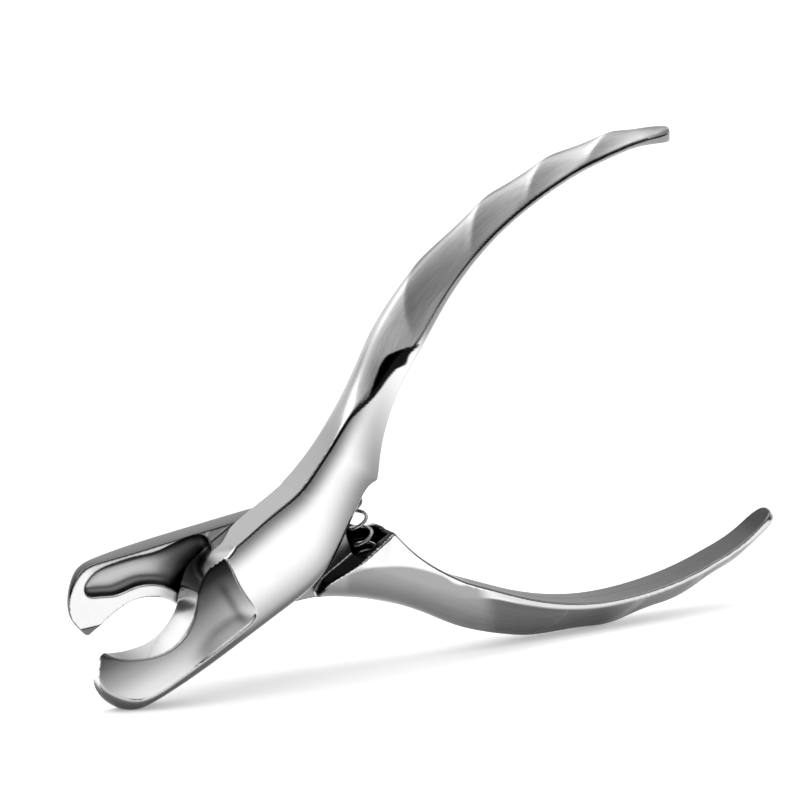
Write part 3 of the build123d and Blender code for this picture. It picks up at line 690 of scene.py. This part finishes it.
def body_material():
    m, nt, b = new_mat("polished_cast_steel", (0.74, 0.74, 0.745), 1.0, 0.13)
    L = nt.links
    tone, brush = attr(nt, "tone").outputs["Fac"], attr(nt, "brush").outputs["Fac"]
    flow, mm = attr(nt, "flow").outputs["Vector"], attr(nt, "lever_mm").outputs["Vector"]
    streak = noise(nt, flow, 1.0, 4.0, (0.10, 3.2, 3.2), 0.65)        # brushing along the grip
    cloud = noise(nt, mm, 0.11, 2.0)                                     # slow variation of the polish
    micro = noise(nt, mm, 2.3, 4.0, (1, 1, 1), 0.6)                      # cast grain left under the polish
    k = math_node(nt, "MULTIPLY", math_node(nt, "SUBTRACT", streak, 0.5), brush)
    var = math_node(nt, "MULTIPLY_ADD", k, 0.85, 1.0)
    var = math_node(nt, "MULTIPLY", var, math_node(nt, "MULTIPLY_ADD", cloud, 0.10, 0.95))
    # base colour is the tone attribute, painted light and shade included, times the brushing and polish variation
    col = math_node(nt, "MULTIPLY", tone, var)
    comb = nt.nodes.new("ShaderNodeCombineColor")
    L.new(col, comb.inputs[0]); L.new(col, comb.inputs[1])
    L.new(math_node(nt, "MULTIPLY", col, 1.008), comb.inputs[2])
    L.new(comb.outputs[0], b.inputs["Base Color"])
    r = math_node(nt, "MULTIPLY_ADD", brush, 0.34, 0.12)
    r = math_node(nt, "MULTIPLY_ADD", attr(nt, "satin").outputs["Fac"], 0.22, r)
    r = math_node(nt, "ADD", r, math_node(nt, "MULTIPLY", math_node(nt, "SUBTRACT", cloud, 0.5), 0.05))
    r = math_node(nt, "ADD", r, math_node(nt, "MULTIPLY", k, 0.20))
    L.new(r, b.inputs["Roughness"])
    hgt = math_node(nt, "ADD", math_node(nt, "MULTIPLY", k, 1.0), math_node(nt, "MULTIPLY", micro, 0.05))
    bp = nt.nodes.new("ShaderNodeBump"); bp.inputs["Strength"].default_value = 0.30; bp.inputs["Distance"].default_value = 0.00012
    L.new(hgt, bp.inputs["Height"]); L.new(bp.outputs[0], b.inputs["Normal"])
    return m


mat = body_material()
for o in (front, rear):
    o.data.materials.append(mat)


def hardware_material(name, lo, hi, rough):
    """Drawn or turned steel: fine lines and a soft change of tone."""
    m, nt, b = new_mat(name, (hi, hi, hi), 1.0, rough)
    co = nt.nodes.new("ShaderNodeTexCoord").outputs["Object"]
    fine = noise(nt, co, 900.0, 4.0, (1.0, 1.0, 0.35), 0.6)
    soft = noise(nt, co, 110.0, 2.0)
    k = math_node(nt, "MULTIPLY_ADD", fine, 0.45, math_node(nt, "MULTIPLY", soft, 0.55))
    rp = nt.nodes.new("ShaderNodeValToRGB"); nt.links.new(k, rp.inputs[0])
    rp.color_ramp.elements[0].position = 0.3; rp.color_ramp.elements[0].color = (lo, lo, lo, 1)
    rp.color_ramp.elements[1].position = 0.7; rp.color_ramp.elements[1].color = (hi, hi, hi * 1.01, 1)
    nt.links.new(rp.outputs[0], b.inputs["Base Color"])
    nt.links.new(math_node(nt, "MULTIPLY_ADD", fine, 0.16, rough - 0.08), b.inputs["Roughness"])
    return m


wire = hardware_material("spring_wire", 0.22, 0.46, 0.24)
turned = hardware_material("turned_steel", 0.48, 0.66, 0.20)
spring.data.materials.append(wire)
for nme in ("pivot_screw", "thrust_washer", "head_washer", "pivot_cap"):
    frame["nodes"][nme].data.materials.clear()
    frame["nodes"][nme].data.materials.append(turned)

# ------------------------------------------------------------------ stage
bpy.ops.mesh.primitive_circle_add(vertices=96, radius=3.2, fill_type="NGON", location=(0.9, 1.5, 0))
floor = bpy.context.object; floor.name = "floor"
fm, _, fb_ = new_mat("floor_white", (0.90, 0.90, 0.90), 0.0, 0.9)
fb_.inputs["Specular IOR Level"].default_value = 0.0
fb_.inputs["Emission Color"].default_value = (1, 1, 1, 1); fb_.inputs["Emission Strength"].default_value = 0.30
floor.data.materials.append(fm)

world = bpy.data.worlds.new("studio"); bpy.context.scene.world = world
world.use_nodes = True
wn = world.node_tree
bg = wn.nodes["Background"]; bg.inputs["Strength"].default_value = 1.0
tc = wn.nodes.new("ShaderNodeTexCoord")
sp = wn.nodes.new("ShaderNodeSeparateXYZ"); wn.links.new(tc.outputs["Generated"], sp.inputs[0])
rp = wn.nodes.new("ShaderNodeValToRGB"); wn.links.new(sp.outputs["Z"], rp.inputs[0])
cr = rp.color_ramp
cr.interpolation = "B_SPLINE"
cr.elements[0].position = 0.0; cr.elements[0].color = (0.02, 0.02, 0.02, 1)
cr.elements[1].position = 1.0; cr.elements[1].color = (1.0, 1.0, 1.0, 1)
for pos, val in ((0.16, 0.02), (0.26, 0.04), (0.40, 0.45), (0.60, 0.75)):
    e = cr.elements.new(pos); e.color = (val, val, val, 1)
dot = math_node(wn, "MULTIPLY_ADD", sp.outputs["Y"], 0.857, math_node(wn, "MULTIPLY", sp.outputs["X"], 0.515))
back = wn.nodes.new("ShaderNodeMapRange"); back.interpolation_type = "SMOOTHSTEP"
back.inputs["From Min"].default_value = 0.10; back.inputs["From Max"].default_value = 0.75
wn.links.new(dot, back.inputs["Value"])
mx = wn.nodes.new("ShaderNodeMix"); mx.data_type = "RGBA"
wn.links.new(back.outputs["Result"], mx.inputs["Factor"])
wn.links.new(rp.outputs[0], mx.inputs[6]); mx.inputs[7].default_value = (0.95, 0.95, 0.95, 1)
wn.links.new(mx.outputs[2], bg.inputs[0])


def area(name, loc, target, size, power, spread=180):
    l = bpy.data.lights.new(name, "AREA"); l.energy = power; l.size = size
    l.spread = math.radians(spread)
    o = bpy.data.objects.new(name, l); bpy.context.scene.collection.objects.link(o)
    o.location = loc
    o.rotation_euler = (Vector(target) - Vector(loc)).to_track_quat("-Z", "Y").to_euler()
    return o


area("key", (-1.3, 0.5, 1.9), (0, 0, 0), 1.5, 13)
area("top", (0.5, 0.1, 2.6), (0, 0, 0), 2.0, 22)
bpy.context.scene.view_settings.view_transform = "Standard"

# ------------------------------------------------------------------ camera
cam = bpy.data.cameras.new("camera"); cam.lens = 315; cam.sensor_width = 36; cam.clip_end = 50
co = bpy.data.objects.new("camera", cam); bpy.context.scene.collection.objects.link(co)
target = Vector((-0.0101, 0, 0.0771)); view = Vector((0.4992, 0.8308, -0.2462))
co.location = target - view * 2.0
co.rotation_euler = view.to_track_quat("-Z", "Y").to_euler()
bpy.context.scene.camera = co

bpy.context.view_layer.update()
